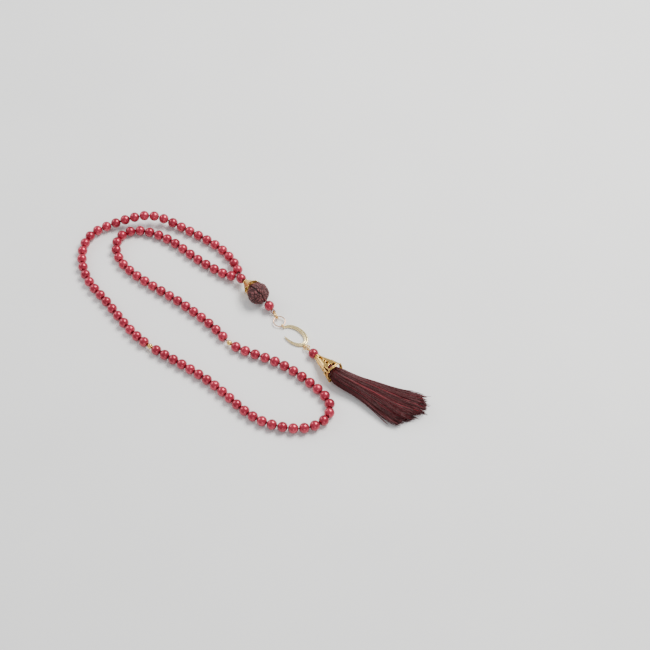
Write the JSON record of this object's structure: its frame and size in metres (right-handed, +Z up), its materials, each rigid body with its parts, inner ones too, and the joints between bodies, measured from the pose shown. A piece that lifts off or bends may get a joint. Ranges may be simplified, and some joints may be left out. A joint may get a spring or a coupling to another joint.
{
  "type": "prayer beads",
  "caption": "Misbaha laid flat: round pearls on one closed string with small divider beads, a carved head bead under a petal cap, a short link chain and a capped thread tassel.",
  "frame": {"origin": "centre of the whole outline on the surface it lies on", "axes": "+X along the laid loop towards the tassel end, +Y towards the strand with the head bead, +Z up"},
  "size_m": [0.3132, 0.1126, 0.018],
  "materials": {
    "pearl": "crimson pearl lacquer, satin gloss",
    "string": "waxed dark red string",
    "gold": "gold plated, polished",
    "pale_gold": "pale gold plated, polished",
    "carved": "carved dark brown seed, worn dull",
    "thread": "silky dark red-brown thread"
  },
  "bodies": {
    "loop_middle": {"pearls_head_outer_1": "pearl", "string_head_outer": "string", "pearls_front_1": "pearl", "pearls_front_2": "pearl", "pearls_front_3": "pearl", "pearls_front_4": "pearl", "pearls_front_5": "pearl", "string_front": "string", "pearls_middle_1": "pearl", "pearls_middle_2": "pearl", "pearls_middle_3": "pearl", "pearls_middle_4": "pearl", "string_middle": "string", "pearls_head_inner_1": "pearl", "string_head_inner": "string"},
    "left_near": {"pearls_left_outer_back_1": "pearl", "string_left_outer_back": "string", "pearls_left_outer_front_1": "pearl", "string_left_outer_front": "string", "pearls_left_inner_front_1": "pearl", "string_left_inner_front": "string", "pearls_left_inner_back_1": "pearl", "string_left_inner_back": "string"},
    "left_far": {"pearls_left_outer_turn_1": "pearl", "pearls_left_outer_turn_2": "pearl", "pearls_left_outer_turn_3": "pearl", "pearls_left_outer_turn_4": "pearl", "pearls_left_outer_turn_5": "pearl", "string_left_outer_turn": "string", "pearls_left_inner_turn_1": "pearl", "pearls_left_inner_turn_2": "pearl", "pearls_left_inner_turn_3": "pearl", "string_left_inner_turn": "string"},
    "right_near": {"pearls_right_front_1": "pearl", "string_right_front": "string", "pearls_right_back_1": "pearl", "string_right_back": "string"},
    "right_far": {"pearls_right_turn_1": "pearl", "pearls_right_turn_2": "pearl", "string_right_turn": "string"},
    "divider_1": {"divider_bead_1": "gold"},
    "divider_2": {"divider_bead_2": "gold"},
    "counting_bead": {"counting_bead": "pearl"},
    "head": {"collector_bead": "pearl", "bead_cap": "gold", "head_cord": "string"},
    "head_bead": {"head_bead": "carved"},
    "lower_pearl": {"lower_pearl": "pearl"},
    "oval_link": {"oval_link": "gold"},
    "upper_ring": {"upper_ring": "gold"},
    "crescent_link": {"crescent_link": "pale_gold"},
    "lower_ring": {"lower_ring": "gold"},
    "tassel": {"tassel_pin": "gold", "tassel_cap": "gold", "tassel_binding": "thread", "tassel_skirt": "thread"},
    "tassel_pearl": {"tassel_pearl": "pearl"},
    "skirt_end": {"tassel_skirt_end": "thread"}
  },
  "joints": [
    {"name": "left_near_lift", "type": "hinge", "parent": "loop_middle", "child": "left_near", "pos_m": [-0.05826, 0.00099, 0.00402], "axis": [0, 1, 0], "range_deg": [0, 25]},
    {"name": "left_far_lift", "type": "hinge", "parent": "left_near", "child": "left_far", "pos_m": [-0.09976, 0.00099, 0.00402], "axis": [0, 1, 0], "range_deg": [0, 25]},
    {"name": "right_near_lift", "type": "hinge", "parent": "loop_middle", "child": "right_near", "pos_m": [0.07064, 0.00559, 0.00402], "axis": [-0.0794, -0.9968, 0], "range_deg": [0, 18]},
    {"name": "right_far_lift", "type": "hinge", "parent": "right_near", "child": "right_far", "pos_m": [0.08684, 0.00499, 0.00402], "axis": [-0.1129, -0.9936, 0], "range_deg": [0, 20]},
    {"name": "head_lift", "type": "hinge", "parent": "loop_middle", "child": "head", "pos_m": [-0.03396, 0.04069, 0.00642], "axis": [-0.105, -0.9945, 0], "range_deg": [0, 25]},
    {"name": "head_bead_spin", "type": "hinge", "parent": "head", "child": "head_bead", "pos_m": [-0.00916, 0.03769, 0.00902], "axis": [0.9945, -0.105, 0], "continuous": true},
    {"name": "lower_pearl_spin", "type": "hinge", "parent": "head", "child": "lower_pearl", "pos_m": [0.00384, 0.03639, 0.00582], "axis": [0.8055, -0.1007, -0.584], "continuous": true},
    {"name": "link_lift", "type": "hinge", "parent": "head", "child": "oval_link", "pos_m": [0.00844, 0.03579, 0.00287], "axis": [-0.2921, -0.9564, 0], "range_deg": [0, 15]},
    {"name": "ring_lift", "type": "hinge", "parent": "oval_link", "child": "upper_ring", "pos_m": [0.01384, 0.03384, 0.00252], "axis": [-0.2968, -0.9549, 0], "range_deg": [0, 35]},
    {"name": "crescent_yaw", "type": "hinge", "parent": "upper_ring", "child": "crescent_link", "pos_m": [0.02264, 0.03119, 0.00197], "axis": [0, 0, 1], "range_deg": [0, 20]},
    {"name": "lower_ring_lift", "type": "hinge", "parent": "crescent_link", "child": "lower_ring", "pos_m": [0.04884, 0.02889, 0.00197], "axis": [-0.3009, -0.9537, 0], "range_deg": [0, 30]},
    {"name": "tassel_yaw", "type": "hinge", "parent": "lower_ring", "child": "tassel", "pos_m": [0.05261, 0.02781, 0.00341], "axis": [0, 0, 1], "range_deg": [-3, 20]},
    {"name": "tassel_pearl_spin", "type": "hinge", "parent": "tassel", "child": "tassel_pearl", "pos_m": [0.05899, 0.02689, 0.00419], "axis": [0.9827, -0.1411, 0.12], "continuous": true},
    {"name": "skirt_end_lift", "type": "hinge", "parent": "tassel", "child": "skirt_end", "pos_m": [0.11464, 0.02929, 0.00982], "axis": [0.2343, -0.9722, 0], "range_deg": [0, 30]},
    {"name": "divider_1_spin", "type": "hinge", "parent": "loop_middle", "child": "divider_1", "pos_m": [-0.03989, -0.05203, 0.00402], "axis": [0.9975, 0.0708, 0], "continuous": true},
    {"name": "divider_2_spin", "type": "hinge", "parent": "loop_middle", "child": "divider_2", "pos_m": [0.00376, -0.00896, 0.00402], "axis": [-0.9994, 0.0347, 0], "continuous": true},
    {"name": "counting_bead_slide", "type": "slide", "parent": "loop_middle", "child": "counting_bead", "axis": [0.9862, -0.1658, 0], "range_m": [0, 0.0015]}
  ]
}
